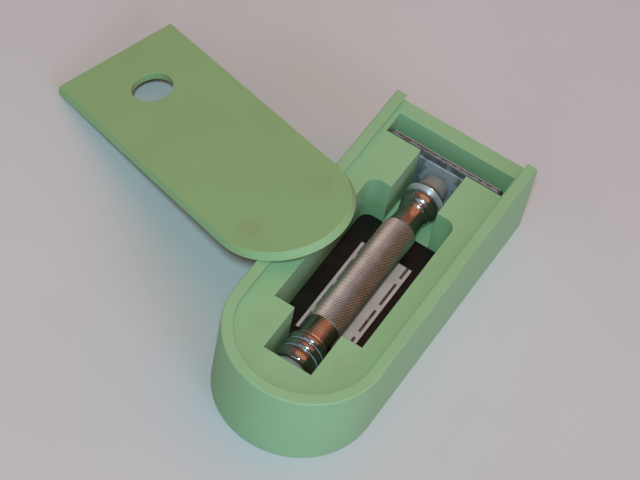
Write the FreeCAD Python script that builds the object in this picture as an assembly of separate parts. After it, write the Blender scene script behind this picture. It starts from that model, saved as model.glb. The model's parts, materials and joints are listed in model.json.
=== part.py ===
import FreeCAD, Part
import math
import os

# Razor case with a sliding dovetail lid, holding a two-piece double-edge razor
# and a pack of spare blades. Millimetres. The origin is the middle of the case's
# base: +X across the case, +Y towards its straight open end, +Z up.

# Case: one printed block with a pocket for each thing that it holds
FLOOR_THICKNESS = 2.5
END_WALL = 5.8
SIDE_WALL = 5.1
ROUND_END_DEPTH = 16.1
HEAD_BLOCK_LENGTH = 19.1
HANDLE_SLOT_SIDE_GAP = 1.4
HANDLE_SLOT_END_GAP = 2.5
RIM_WIDTH = 4.0
DOVETAIL_ANGLE = 20.0
EDGE_RADIUS = 0.5

# Lid: a plate that slides into the rim from the straight end
LID_THICKNESS = 3.0
LID_SIDE_GAP = 0.3
LID_UNDER_GAP = 0.2
LID_END_RECESS = 1.8
FINGER_HOLE_DIAMETER = 14.5
FINGER_HOLE_FROM_END = 23.2

# Lid taken off: its underside leans on the case's left rim, one corner on the table
LEAN_FOOT_OUT = 101.5
LEAN_FOOT_ALONG = 13.8
LEAN_TURN = 68.2
LEAN_GAP = 0.08

# Catch magnets: a pair in the lid over a pair sealed under the deck
MAGNET_DIAMETER = 8.0
MAGNET_THICKNESS = 2.0
MAGNET_SLOT_WALL = 1.55
MAGNET_POCKET_WALL = 6.15
MAGNET_SKIN = 0.6
MAGNET_GAP = 0.05

# Double-edge blade: the standard piece that the razor and the pack are made round
BLADE_LENGTH = 42.9
BLADE_WIDTH = 22.0
BLADE_THICKNESS = 0.1
BLADE_CORNER_LENGTH = 2.9
BLADE_CORNER_WIDTH = 3.4
BLADE_HOLE_DIAMETER = 5.6
BLADE_SLOT_WIDTH = 3.4
BLADE_SLOT_FROM_END = 4.95

# Razor head: cap, blade and guard, lying with the blade's width upright
HEAD_SIDE_GAP = 1.1
HEAD_FRONT_GAP = 0.1
HEAD_BACK_GAP = 2.0
HEAD_UNDER_DECK = 0.2
HEAD_SEAT_GAP = 0.1
HEAD_JOINT_GAP = 0.05
RAZOR_SIDE_SHIFT = -0.3
BLADE_BEND_RADIUS = 23.4
BLADE_TAB_OUT = 0.15
BLADE_EDGE_OUT = 2.65
BLADE_PAST_CAP = 0.5
GUARD_PAST_BLADE = 1.4
GUARD_CORNER_RADIUS = 1.8
BAR_THICKNESS = 1.65
BAR_RECESS = 0.45
LEDGE_FROM_EDGE = 3.4
SEAT_FROM_EDGE = 2.7
LATHER_NOTCHES_PER_SIDE = 11
LATHER_NOTCH_DEPTH = 2.2
LATHER_NOTCH_REACH = 0.95
LATHER_RIB = 1.65
LATHER_END = 3.3
CAP_CROWN_OUT = 7.0
CAP_EDGE_THICKNESS = 0.45
CAP_CORNER_RADIUS = 2.0
LUG_FROM_SLOT_END = 3.5
LUG_SLOT_GAP = 0.2
LUG_GAP = 0.15
STUD_HOLE_GAP = 0.3
STUD_GAP = 0.06
STUD_ENGAGEMENT = 12.0

# Razor handle: collar, barrel, and the twist knob with its long nut
COLLAR_LENGTH = 24.4
FLANGE_FROM_GUARD = 7.6
FLANGE_THICKNESS = 2.0
FLANGE_RIM = 0.6
FLANGE_DIAMETER = 14.4
DOME_LENGTH = 6.7
DOME_BASE_DIAMETER = 10.4
DOME_BULGE = 0.2
DOME_TOP_DIAMETER = 9.6
SPIGOT_DIAMETER = 6.6
GROOVE_DIAMETER = 11.8
BEAD_LENGTH = 5.0
BEAD_CREST_DEPTH = 1.9
BEAD_DIAMETER = 13.4
NECK_RING_LENGTH = 1.6
NECK_RING_DIAMETER = 11.2
NECK_TOP_DIAMETER = 10.2
NECK_WAIST = 0.45
NECK_BOTTOM_DIAMETER = 11.8
COLLAR_TENON_LENGTH = 8.0
BARREL_DIAMETER = 12.4
BARREL_BORE = 8.4
BARREL_COUNTERBORE = 10.0
BARREL_SHOULDER_DEPTH = 20.0
KNURL_LENGTH = 48.3
BAND_LENGTH = 7.7
BAND_DIAMETER = 12.0
WASHER_THICKNESS = 0.5
WASHER_DIAMETER = 12.6
KNOB_DIAMETER = 14.8
KNOB_RINGS = 2
KNOB_RING_LENGTH = 3.1
KNOB_GROOVE_DIAMETER = 12.8
KNOB_BELLY_LENGTH = 5.8
KNOB_BELLY_CREST_DEPTH = 2.4
KNOB_DOME_LENGTH = 2.0
KNOB_DOME_DIAMETER = 10.4
KNOB_SOCKET_DEPTH = 9.0
SLEEVE_GAP = 0.05
SLEEVE_PAST_SHOULDER = 2.6
RETAINER_THICKNESS = 0.8
RETAINER_GROOVE_DEPTH = 0.55
TURN_GAP = 0.05
FIT_GAP = 0.03

# Blade pack: a snapped plastic box under the handle
PACK_HEIGHT = 7.5
PACK_END_ROOM = 7.85
PACK_SIDE_GAP = 0.4
PACK_END_GAP = 0.65
PACK_UNDER_HANDLE_GAP = 0.4
PACK_CORNER_RADIUS = 3.6
PACK_WALL = 1.4
PACK_FLOOR = 1.2
COVER_THICKNESS = 1.3
COVER_LIP = 0.8
COVER_LIP_GAP = 0.1
GUIDE_LENGTH = 36.0
GUIDE_THICKNESS = 1.2
GUIDE_GAP = 0.4
GUIDE_TO_LIP = 1.1
SPARE_BLADES = 5
SPARE_BLADE_PITCH = 0.3
FEED_SPRING_LENGTH = 36.0
FEED_SPRING_WIDTH = 9.0
FEED_SPRING_THICKNESS = 0.25
PACK_INNER_GAP = 0.05
EXIT_SLOT_HEIGHT = 1.0
THUMB_SLOT_LENGTH = 30.0
THUMB_SLOT_WIDTH = 9.0
THUMB_SLOT_FROM_END = 2.6
LABEL_LENGTH = 41.6
LABEL_WIDTH = 19.6
LABEL_THICKNESS = 0.1
LABEL_FROM_KNOB_END = 5.6
LABEL_GAP = 0.05

# Sizes that follow from the blade: the bent one in the head, and the pack round flat ones
HEAD_LENGTH = BLADE_LENGTH - 2 * BLADE_TAB_OUT
BEND_HALF_ANGLE = BLADE_WIDTH / (2 * BLADE_BEND_RADIUS)
BLADE_HEIGHT = 2 * BLADE_BEND_RADIUS * math.sin(BEND_HALF_ANGLE)
BLADE_RISE = BLADE_BEND_RADIUS * (1 - math.cos(BEND_HALF_ANGLE))
BLADE_SLOT_LENGTH = BLADE_LENGTH - 2 * BLADE_SLOT_FROM_END
GUARD_HEIGHT = BLADE_HEIGHT + 2 * GUARD_PAST_BLADE
CAP_HEIGHT = BLADE_HEIGHT - 2 * BLADE_PAST_CAP
LUG_DIAMETER = BLADE_SLOT_WIDTH - 2 * LUG_SLOT_GAP
LUG_SPACING = BLADE_SLOT_LENGTH - 2 * LUG_FROM_SLOT_END
STUD_DIAMETER = BLADE_HOLE_DIAMETER - 2 * STUD_HOLE_GAP
GUIDE_X = BLADE_WIDTH / 2 + GUIDE_GAP
PACK_WIDTH = 2 * (GUIDE_X + GUIDE_THICKNESS + GUIDE_TO_LIP + COVER_LIP + COVER_LIP_GAP + PACK_WALL)
PACK_LENGTH = BLADE_LENGTH + 2 * PACK_END_ROOM

# Places worked out from the sizes, upwards from the table
AXIS_Z = FLOOR_THICKNESS + PACK_HEIGHT + PACK_UNDER_HANDLE_GAP + BARREL_DIAMETER / 2
DECK_Z = AXIS_Z + GUARD_HEIGHT / 2 + HEAD_UNDER_DECK
CASE_HEIGHT = DECK_Z + LID_UNDER_GAP + LID_THICKNESS
HEAD_FLOOR_Z = AXIS_Z - GUARD_HEIGHT / 2 - HEAD_SEAT_GAP
HANDLE_FLOOR_Z = AXIS_Z - max(KNOB_DIAMETER, FLANGE_DIAMETER) / 2 - HEAD_SEAT_GAP

# Places along the case, from the straight end down to the round one
HEAD_SLOT_LENGTH = HEAD_FRONT_GAP + CAP_CROWN_OUT + HEAD_BACK_GAP
KNOB_LENGTH = KNOB_RINGS * KNOB_RING_LENGTH + KNOB_BELLY_LENGTH + KNOB_DOME_LENGTH
BARREL_LENGTH = KNURL_LENGTH + BAND_LENGTH
HANDLE_LENGTH = COLLAR_LENGTH + BARREL_LENGTH + WASHER_THICKNESS + 2 * TURN_GAP + KNOB_LENGTH
HANDLE_SLOT_LENGTH = HANDLE_LENGTH - HEAD_FRONT_GAP + HANDLE_SLOT_END_GAP
CASE_LENGTH = END_WALL + HEAD_SLOT_LENGTH + HANDLE_SLOT_LENGTH + ROUND_END_DEPTH
STRAIGHT_END_Y = CASE_LENGTH / 2
HEAD_SLOT_BACK_Y = STRAIGHT_END_Y - END_WALL
HEAD_SLOT_FRONT_Y = HEAD_SLOT_BACK_Y - HEAD_SLOT_LENGTH
HANDLE_SLOT_END_Y = HEAD_SLOT_FRONT_Y - HANDLE_SLOT_LENGTH
POCKET_HEAD_Y = HEAD_SLOT_FRONT_Y - HEAD_BLOCK_LENGTH
POCKET_KNOB_Y = POCKET_HEAD_Y - PACK_LENGTH - 2 * PACK_END_GAP
PACK_Y = (POCKET_HEAD_Y + POCKET_KNOB_Y) / 2

# Places across the case
HEAD_SLOT_HALF = HEAD_LENGTH / 2 + HEAD_SIDE_GAP
CASE_HALF = HEAD_SLOT_HALF + SIDE_WALL
HANDLE_SLOT_HALF = max(KNOB_DIAMETER, FLANGE_DIAMETER) / 2 + HANDLE_SLOT_SIDE_GAP
POCKET_HALF = PACK_WIDTH / 2 + PACK_SIDE_GAP
ROUND_CENTRE_Y = CASE_HALF - CASE_LENGTH / 2
DOVETAIL_SLOPE = math.tan(math.radians(DOVETAIL_ANGLE))
CHANNEL_TOP_HALF = CASE_HALF - RIM_WIDTH
LID_TOP_HALF = CHANNEL_TOP_HALF - LID_SIDE_GAP
LID_UNDER_HALF = LID_TOP_HALF + LID_THICKNESS * DOVETAIL_SLOPE
LID_END_Y = STRAIGHT_END_Y - LID_END_RECESS
MAGNET_SEAT_DIAMETER = MAGNET_DIAMETER + 2 * MAGNET_GAP
MAGNET_X = HANDLE_SLOT_HALF + MAGNET_SLOT_WALL + MAGNET_SEAT_DIAMETER / 2
MAGNET_Y = POCKET_KNOB_Y - MAGNET_POCKET_WALL - MAGNET_SEAT_DIAMETER / 2

# Places along the razor's axis
AXIS_X = RAZOR_SIDE_SHIFT
GUARD_FACE_Y = HEAD_SLOT_FRONT_Y + HEAD_FRONT_GAP
BARREL_TOP_Y = GUARD_FACE_Y - COLLAR_LENGTH
BARREL_END_Y = BARREL_TOP_Y - BARREL_LENGTH
SHOULDER_Y = BARREL_TOP_Y - BARREL_SHOULDER_DEPTH
KNOB_TOP_Y = BARREL_END_Y - WASHER_THICKNESS - 2 * TURN_GAP
KNOB_END_Y = KNOB_TOP_Y - KNOB_LENGTH
SLEEVE_TOP_Y = SHOULDER_Y + SLEEVE_PAST_SHOULDER
SLEEVE_RADIUS = BARREL_BORE / 2 - SLEEVE_GAP
BLADE_TOP_Y = GUARD_FACE_Y + BLADE_EDGE_OUT + BLADE_RISE
BLADE_CENTRE_Y = BLADE_TOP_Y - BLADE_BEND_RADIUS
STUD_SEAT_Y = (GUARD_FACE_Y + CAP_CROWN_OUT + BLADE_TOP_Y) / 2


def vec(x, y, z):
    return FreeCAD.Vector(x, y, z)


def box(x0, x1, y0, y1, z0, z1):
    return Part.makeBox(x1 - x0, y1 - y0, z1 - z0, vec(x0, y0, z0))


def face_of(start, *steps):
    """Closed flat face from a start point; a step is a point, or (via, end) for an arc."""
    edges = []
    here = start
    for step in steps + (start,):
        if isinstance(step, tuple):
            via, end = step
            edges.append(Part.Arc(here, via, end).toShape())
        else:
            end = step
            if here.distanceToPoint(end) > Part.Precision.confusion():
                edges.append(Part.LineSegment(here, end).toShape())
        here = end
    return Part.Face(Part.Wire(edges))


def rod_y(diameter, y0, y1, x=0.0, z=0.0):
    """Round rod along Y; x and z are offsets from the razor's axis."""
    base = vec(AXIS_X + x, y0, AXIS_Z + z)
    return Part.makeCylinder(diameter / 2, y1 - y0, base, vec(0, 1, 0))


def turned(start, *steps):
    """Solid of revolution about the razor's axis from (radius, y) points and arcs."""
    def place(point):
        return vec(AXIS_X + point[0], point[1], AXIS_Z)

    def placed(step):
        if isinstance(step[0], tuple):
            return (place(step[0]), place(step[1]))
        return place(step)

    face = face_of(place(start), *[placed(step) for step in steps])
    return face.revolve(vec(AXIS_X, 0, AXIS_Z), vec(0, 1, 0), 360)


def rounded_block(x_mid, y_mid, length_x, length_y, radius, z0, z1):
    """Upright block with rounded vertical corners."""
    block = box(x_mid - length_x / 2, x_mid + length_x / 2,
                y_mid - length_y / 2, y_mid + length_y / 2, z0, z1)
    uprights = [e for e in block.Edges if abs(e.tangentAt(e.FirstParameter).z) > math.sqrt(0.5)]
    return block.makeFillet(radius, uprights)


def d_wire(half, end_y, z):
    """Outline of the case's D shape: straight end at end_y, half round at the other end."""
    left = vec(-half, ROUND_CENTRE_Y, z)
    right = vec(half, ROUND_CENTRE_Y, z)
    tip = vec(0, ROUND_CENTRE_Y - half, z)
    back_right = vec(half, end_y, z)
    back_left = vec(-half, end_y, z)
    return Part.Wire([
        Part.Arc(left, tip, right).toShape(),
        Part.LineSegment(right, back_right).toShape(),
        Part.LineSegment(back_right, back_left).toShape(),
        Part.LineSegment(back_left, left).toShape(),
    ])


def d_plate(half_low, half_high, end_y, z_low, z_high):
    """D-shaped plate whose sides lean inwards from z_low to z_high."""
    return Part.makeLoft([d_wire(half_low, end_y, z_low), d_wire(half_high, end_y, z_high)], True, True)


def magnet_pair(diameter, z0, z1):
    """Two discs side by side, in the place that they have with the lid shut."""
    discs = []
    for side in (-1, 1):
        base = vec(side * MAGNET_X, MAGNET_Y, z0)
        discs.append(Part.makeCylinder(diameter / 2, z1 - z0, base))
    return Part.makeCompound(discs)


def case_body():
    block = Part.Face(d_wire(CASE_HALF, STRAIGHT_END_Y, 0)).extrude(vec(0, 0, CASE_HEIGHT))
    flat_edges = [e for e in block.Edges if abs(e.BoundBox.ZLength) < EDGE_RADIUS]
    block = block.makeFillet(EDGE_RADIUS, flat_edges)
    channel_depth = CASE_HEIGHT - DECK_Z
    past_end = STRAIGHT_END_Y + RIM_WIDTH
    channel = d_plate(CHANNEL_TOP_HALF + channel_depth * DOVETAIL_SLOPE, CHANNEL_TOP_HALF,
                      past_end, DECK_Z, CASE_HEIGHT)
    head_slot = box(-HEAD_SLOT_HALF, HEAD_SLOT_HALF, HEAD_SLOT_FRONT_Y, HEAD_SLOT_BACK_Y,
                    HEAD_FLOOR_Z, CASE_HEIGHT)
    handle_slot = box(-HANDLE_SLOT_HALF, HANDLE_SLOT_HALF, HANDLE_SLOT_END_Y, HEAD_SLOT_FRONT_Y,
                      HANDLE_FLOOR_Z, CASE_HEIGHT)
    pocket = box(-POCKET_HALF, POCKET_HALF, POCKET_KNOB_Y, POCKET_HEAD_Y, FLOOR_THICKNESS, CASE_HEIGHT)
    head_corners = [e for e in pocket.Edges
                    if e.BoundBox.YMin > PACK_Y and e.BoundBox.YLength < EDGE_RADIUS
                    and e.BoundBox.ZLength > EDGE_RADIUS]
    pocket = pocket.makeFillet(PACK_CORNER_RADIUS + PACK_SIDE_GAP, head_corners)
    seat_top = DECK_Z - MAGNET_SKIN
    seats = magnet_pair(MAGNET_SEAT_DIAMETER, seat_top - MAGNET_THICKNESS - 2 * MAGNET_GAP, seat_top)
    for cutter in [channel, head_slot, handle_slot, pocket] + seats.Solids:
        block = block.cut(cutter)
    return block


def case_magnets():
    top = DECK_Z - MAGNET_SKIN - MAGNET_GAP
    return magnet_pair(MAGNET_DIAMETER, top - MAGNET_THICKNESS, top)


def lean(shape):
    """Turns a shape from its place with the lid shut to the lid's place against the case."""
    tilt = math.degrees(math.atan2(CASE_HEIGHT, LEAN_FOOT_OUT))
    turn = FreeCAD.Rotation(vec(0, 1, 0), -tilt).multiply(FreeCAD.Rotation(vec(0, 0, 1), LEAN_TURN))
    corner = vec(-LID_UNDER_HALF, LID_END_Y, DECK_Z + LID_UNDER_GAP)
    foot = vec(-CASE_HALF - LEAN_FOOT_OUT, LEAN_FOOT_ALONG, LEAN_GAP)
    return shape.transformed(FreeCAD.Placement(foot - turn.multVec(corner), turn).toMatrix())


def lid():
    under_z = DECK_Z + LID_UNDER_GAP
    plate = d_plate(LID_UNDER_HALF, LID_TOP_HALF, LID_END_Y, under_z, CASE_HEIGHT)
    hole_centre = vec(0, LID_END_Y - FINGER_HOLE_FROM_END, under_z)
    plate = plate.cut(Part.makeCylinder(FINGER_HOLE_DIAMETER / 2, LID_THICKNESS, hole_centre))
    seats = magnet_pair(MAGNET_SEAT_DIAMETER, under_z, under_z + MAGNET_THICKNESS + MAGNET_GAP)
    for seat in seats.Solids:
        plate = plate.cut(seat)
    return lean(plate)


def lid_magnets():
    under_z = DECK_Z + LID_UNDER_GAP
    return lean(magnet_pair(MAGNET_DIAMETER, under_z, under_z + MAGNET_THICKNESS))


def head_point(height, y):
    """Point of the head's cross section, height being measured from the razor's axis."""
    return vec(AXIS_X, y, AXIS_Z + height)


def arc_y(radius, height):
    """Y of an arc about the blade's centre of curvature, at a height from the axis."""
    return BLADE_CENTRE_Y + math.sqrt(radius ** 2 - height ** 2)


def arc_across(radius, half):
    """Arc step across the head, ending at -half."""
    return (head_point(0, BLADE_CENTRE_Y + radius), head_point(-half, arc_y(radius, half)))


def head_bar(section, length):
    """Extrudes a head section along X, about the razor's axis."""
    return section.extrude(vec(length, 0, 0)).translated(vec(-length / 2, 0, 0))


def head_outline(length, height, radius):
    """Prism along Y with the head's rounded outline."""
    depth = 2 * CAP_CROWN_OUT
    block = Part.makeBox(length, depth, height,
                         vec(AXIS_X - length / 2, GUARD_FACE_Y - depth / 2, AXIS_Z - height / 2))
    edges = [e for e in block.Edges if abs(e.tangentAt(e.FirstParameter).y) > math.sqrt(0.5)]
    return block.makeFillet(radius, edges)


def guard_plate():
    """Flat-backed plate; a bar with lather notches runs along both long edges."""
    outer = GUARD_HEIGHT / 2
    ledge = outer - LEDGE_FROM_EDGE
    seat_half = outer - SEAT_FROM_EDGE
    seat_radius = BLADE_BEND_RADIUS - BLADE_THICKNESS / 2 - HEAD_JOINT_GAP
    bar_face = GUARD_FACE_Y + BAR_RECESS
    bar_back = bar_face + BAR_THICKNESS
    rounding = BAR_THICKNESS / 2
    bar_round = outer - rounding
    bar_mid = bar_face + rounding
    section = face_of(
        head_point(ledge, GUARD_FACE_Y),
        head_point(ledge, bar_face),
        head_point(bar_round, bar_face),
        (head_point(outer, bar_mid), head_point(bar_round, bar_back)),
        head_point(seat_half, bar_back),
        head_point(seat_half, arc_y(seat_radius, seat_half)),
        arc_across(seat_radius, seat_half),
        head_point(-seat_half, bar_back),
        head_point(-bar_round, bar_back),
        (head_point(-outer, bar_mid), head_point(-bar_round, bar_face)),
        head_point(-ledge, bar_face),
        head_point(-ledge, GUARD_FACE_Y),
    )
    plate = head_bar(section, HEAD_LENGTH)
    plate = plate.common(head_outline(HEAD_LENGTH, GUARD_HEIGHT, GUARD_CORNER_RADIUS))
    pitch = (HEAD_LENGTH - 2 * LATHER_END + LATHER_RIB) / LATHER_NOTCHES_PER_SIDE
    first = AXIS_X - HEAD_LENGTH / 2 + LATHER_END
    notch_y = bar_back - LATHER_NOTCH_REACH
    for number in range(LATHER_NOTCHES_PER_SIDE):
        x0 = first + number * pitch
        for side in (-1, 1):
            z_mid = AXIS_Z + side * outer
            plate = plate.cut(box(x0, x0 + pitch - LATHER_RIB, notch_y, notch_y + BAR_THICKNESS,
                                  z_mid - LATHER_NOTCH_DEPTH, z_mid + LATHER_NOTCH_DEPTH))
    plate = plate.cut(rod_y(SPIGOT_DIAMETER + 2 * FIT_GAP, GUARD_FACE_Y, BLADE_TOP_Y))
    for side in (-1, 1):
        plate = plate.cut(rod_y(LUG_DIAMETER + 2 * LUG_GAP, GUARD_FACE_Y, BLADE_TOP_Y,
                                side * LUG_SPACING / 2))
    return plate


def blade_outline(width):
    """Blade's stepped outline as a list of (along, across) corners."""
    tip = BLADE_LENGTH / 2
    step = tip - BLADE_CORNER_LENGTH
    edge = width / 2
    tab = edge - BLADE_CORNER_WIDTH
    quarter = [(tip, tab), (step, tab), (step, edge)]
    left = [(-x, y) for x, y in reversed(quarter)]
    return quarter + left + [(-x, -y) for x, y in quarter] + [(-x, -y) for x, y in left]


def blade():
    half = BLADE_HEIGHT / 2
    outer_radius = BLADE_BEND_RADIUS + BLADE_THICKNESS / 2
    inner_radius = BLADE_BEND_RADIUS - BLADE_THICKNESS / 2
    section = face_of(
        head_point(-half, arc_y(inner_radius, half)),
        (head_point(0, BLADE_CENTRE_Y + inner_radius), head_point(half, arc_y(inner_radius, half))),
        head_point(half, arc_y(outer_radius, half)),
        arc_across(outer_radius, half),
    )
    sheet = head_bar(section, BLADE_LENGTH)
    corners = [vec(AXIS_X + x, GUARD_FACE_Y, AXIS_Z + z) for x, z in blade_outline(BLADE_HEIGHT)]
    sheet = sheet.common(face_of(*corners).extrude(vec(0, CAP_CROWN_OUT, 0)))
    slot = Part.makeBox(BLADE_SLOT_LENGTH, CAP_CROWN_OUT, BLADE_SLOT_WIDTH,
                        vec(AXIS_X - BLADE_SLOT_LENGTH / 2, GUARD_FACE_Y, AXIS_Z - BLADE_SLOT_WIDTH / 2))
    sheet = sheet.cut(slot)
    return sheet.cut(rod_y(BLADE_HOLE_DIAMETER, GUARD_FACE_Y, GUARD_FACE_Y + CAP_CROWN_OUT))


def cap_plate():
    half = CAP_HEIGHT / 2
    under_radius = BLADE_BEND_RADIUS + BLADE_THICKNESS / 2 + HEAD_JOINT_GAP
    edge_y = arc_y(under_radius, half)
    section = face_of(
        head_point(half, edge_y),
        arc_across(under_radius, half),
        head_point(-half, edge_y + CAP_EDGE_THICKNESS),
        (head_point(0, GUARD_FACE_Y + CAP_CROWN_OUT), head_point(half, edge_y + CAP_EDGE_THICKNESS)),
    )
    plate = head_bar(section, HEAD_LENGTH).common(head_outline(HEAD_LENGTH, CAP_HEIGHT, CAP_CORNER_RADIUS))
    lug_end = GUARD_FACE_Y + BAR_RECESS + BAR_THICKNESS
    for side in (-1, 1):
        plate = plate.fuse(rod_y(LUG_DIAMETER, lug_end, BLADE_TOP_Y + HEAD_JOINT_GAP + BLADE_THICKNESS,
                                 side * LUG_SPACING / 2))
    return plate.cut(rod_y(STUD_DIAMETER + 2 * FIT_GAP, GUARD_FACE_Y, STUD_SEAT_Y))


def cap_stud():
    return rod_y(STUD_DIAMETER, SLEEVE_TOP_Y - STUD_ENGAGEMENT, STUD_SEAT_Y)


def handle_collar():
    """Turned piece: tenon, neck, ring, bead, flange, dome, and the spigot in the guard."""
    tenon = BARREL_COUNTERBORE / 2 - FIT_GAP
    tenon_end = BARREL_TOP_Y - COLLAR_TENON_LENGTH
    flange = FLANGE_DIAMETER / 2
    flange_top = GUARD_FACE_Y - FLANGE_FROM_GUARD
    flange_low = flange_top - FLANGE_THICKNESS
    rim = flange - FLANGE_RIM / 4
    dome_low = DOME_BASE_DIAMETER / 2
    dome = DOME_TOP_DIAMETER / 2
    dome_top = flange_top + DOME_LENGTH
    dome_via = ((dome_low + dome) / 2 + DOME_BULGE, flange_top + DOME_LENGTH / 2)
    bead_low = flange_low - BEAD_LENGTH
    neck_low = NECK_BOTTOM_DIAMETER / 2
    neck_top = NECK_TOP_DIAMETER / 2
    neck_top_y = bead_low - NECK_RING_LENGTH
    neck_via = ((neck_low + neck_top) / 2 - NECK_WAIST, (BARREL_TOP_Y + neck_top_y) / 2)
    spigot = SPIGOT_DIAMETER / 2
    spigot_top = arc_y(BLADE_BEND_RADIUS - BLADE_THICKNESS / 2 - HEAD_JOINT_GAP, spigot)
    solid = turned(
        (0.0, tenon_end),
        (tenon, tenon_end),
        (tenon, BARREL_TOP_Y),
        (neck_low, BARREL_TOP_Y),
        (neck_via, (neck_top, neck_top_y)),
        ((NECK_RING_DIAMETER / 2, bead_low - NECK_RING_LENGTH / 2), (neck_top, bead_low)),
        ((BEAD_DIAMETER / 2, flange_low - BEAD_CREST_DEPTH), (GROOVE_DIAMETER / 2, flange_low)),
        (rim, flange_top - FLANGE_RIM),
        ((flange, flange_top - FLANGE_RIM / 2), (rim, flange_top)),
        (dome_low, flange_top),
        (dome_via, (dome, dome_top)),
        (spigot, (dome_top + GUARD_FACE_Y) / 2),
        (spigot, spigot_top),
        (0.0, spigot_top),
    )
    return solid.cut(rod_y(STUD_DIAMETER + 2 * STUD_GAP, tenon_end, spigot_top))


def handle_barrel():
    grip = rod_y(BARREL_DIAMETER, BARREL_END_Y + BAND_LENGTH, BARREL_TOP_Y)
    grip = grip.makeChamfer((BARREL_DIAMETER - BAND_DIAMETER) / 2, [e for e in grip.Edges if e.Closed])
    tube = grip.fuse(rod_y(BAND_DIAMETER, BARREL_END_Y, BARREL_TOP_Y - BAND_LENGTH))
    tube = tube.cut(rod_y(BARREL_BORE, BARREL_END_Y, BARREL_TOP_Y))
    return tube.cut(rod_y(BARREL_COUNTERBORE, SHOULDER_Y, BARREL_TOP_Y)).removeSplitter()


def knob_washer():
    y0 = KNOB_TOP_Y + TURN_GAP
    ring = rod_y(WASHER_DIAMETER, y0, y0 + WASHER_THICKNESS)
    return ring.cut(rod_y(BARREL_BORE, y0, y0 + WASHER_THICKNESS))


def twist_knob():
    """Turned piece: rings to grip, a belly and a domed end, bored for the nut."""
    groove = KNOB_GROOVE_DIAMETER / 2
    crest = KNOB_DIAMETER / 2
    dome = KNOB_DOME_DIAMETER / 2
    steps = [(groove, KNOB_TOP_Y)]
    for ring in range(KNOB_RINGS):
        ring_y = KNOB_TOP_Y - ring * KNOB_RING_LENGTH
        steps.append(((crest, ring_y - KNOB_RING_LENGTH / 2), (groove, ring_y - KNOB_RING_LENGTH)))
    belly_top = KNOB_TOP_Y - KNOB_RINGS * KNOB_RING_LENGTH
    dome_y = KNOB_END_Y + KNOB_DOME_LENGTH
    steps.append(((crest, belly_top - KNOB_BELLY_CREST_DEPTH), (dome, dome_y)))
    sphere = (dome ** 2 + KNOB_DOME_LENGTH ** 2) / (2 * KNOB_DOME_LENGTH)
    dome_via_y = KNOB_END_Y + sphere - math.sqrt(sphere ** 2 - dome ** 2 / 4)
    steps.append(((dome / 2, dome_via_y), (0.0, KNOB_END_Y)))
    solid = turned((0.0, KNOB_TOP_Y), *steps)
    return solid.cut(rod_y(2 * (SLEEVE_RADIUS + FIT_GAP), KNOB_TOP_Y - KNOB_SOCKET_DEPTH, KNOB_TOP_Y))


def sleeve_nut():
    y0 = KNOB_TOP_Y - KNOB_SOCKET_DEPTH + FIT_GAP
    tube = rod_y(2 * SLEEVE_RADIUS, y0, SLEEVE_TOP_Y)
    groove_y = SHOULDER_Y + TURN_GAP
    groove_top = groove_y + RETAINER_THICKNESS + 2 * TURN_GAP
    ring = rod_y(2 * SLEEVE_RADIUS, groove_y, groove_top)
    ring = ring.cut(rod_y(2 * (SLEEVE_RADIUS - RETAINER_GROOVE_DEPTH), groove_y, groove_top))
    return tube.cut(ring).cut(rod_y(STUD_DIAMETER + 2 * STUD_GAP, y0, SLEEVE_TOP_Y))


def retaining_ring():
    y0 = SHOULDER_Y + 2 * TURN_GAP
    y1 = y0 + RETAINER_THICKNESS
    inner = SLEEVE_RADIUS - RETAINER_GROOVE_DEPTH + FIT_GAP
    outer = BARREL_COUNTERBORE / 2 - TURN_GAP
    ring = rod_y(2 * outer, y0, y1).cut(rod_y(2 * inner, y0, y1))
    mouth = inner * math.sqrt(0.5)
    return ring.cut(box(AXIS_X - mouth, AXIS_X + mouth, y0, y1, AXIS_Z, AXIS_Z + 2 * outer))


def pack_block(inset, z0, z1):
    """Block with the pack's rounded outline, drawn in by inset."""
    return rounded_block(0, PACK_Y, PACK_WIDTH - 2 * inset, PACK_LENGTH - 2 * inset,
                         PACK_CORNER_RADIUS - inset, z0, z1)


PACK_TOP_Z = FLOOR_THICKNESS + PACK_HEIGHT
COVER_UNDER_Z = PACK_TOP_Z - COVER_THICKNESS
TRAY_FLOOR_Z = FLOOR_THICKNESS + PACK_FLOOR
STACK_TOP_Z = COVER_UNDER_Z - PACK_INNER_GAP
STACK_UNDER_Z = STACK_TOP_Z - BLADE_THICKNESS - (SPARE_BLADES - 1) * SPARE_BLADE_PITCH


def dispenser_tray():
    tray = pack_block(0.0, FLOOR_THICKNESS, COVER_UNDER_Z)
    tray = tray.cut(pack_block(PACK_WALL, TRAY_FLOOR_Z, COVER_UNDER_Z))
    for side in (-1, 1):
        x0 = side * (GUIDE_X + GUIDE_THICKNESS / 2) - GUIDE_THICKNESS / 2
        guide = box(x0, x0 + GUIDE_THICKNESS, PACK_Y - GUIDE_LENGTH / 2, PACK_Y + GUIDE_LENGTH / 2,
                    TRAY_FLOOR_Z, STACK_TOP_Z)
        tray = tray.fuse(guide)
    end_y = PACK_Y + PACK_LENGTH / 2
    exit_slot = box(-GUIDE_X, GUIDE_X, end_y - 2 * PACK_WALL, end_y + PACK_WALL,
                    STACK_TOP_Z - EXIT_SLOT_HEIGHT, COVER_UNDER_Z)
    thumb_y = PACK_Y - PACK_LENGTH / 2 + THUMB_SLOT_FROM_END + THUMB_SLOT_LENGTH / 2
    thumb_slot = rounded_block(0, thumb_y, THUMB_SLOT_WIDTH, THUMB_SLOT_LENGTH, THUMB_SLOT_WIDTH / 3,
                               FLOOR_THICKNESS, TRAY_FLOOR_Z)
    return tray.cut(exit_slot).cut(thumb_slot)


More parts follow.
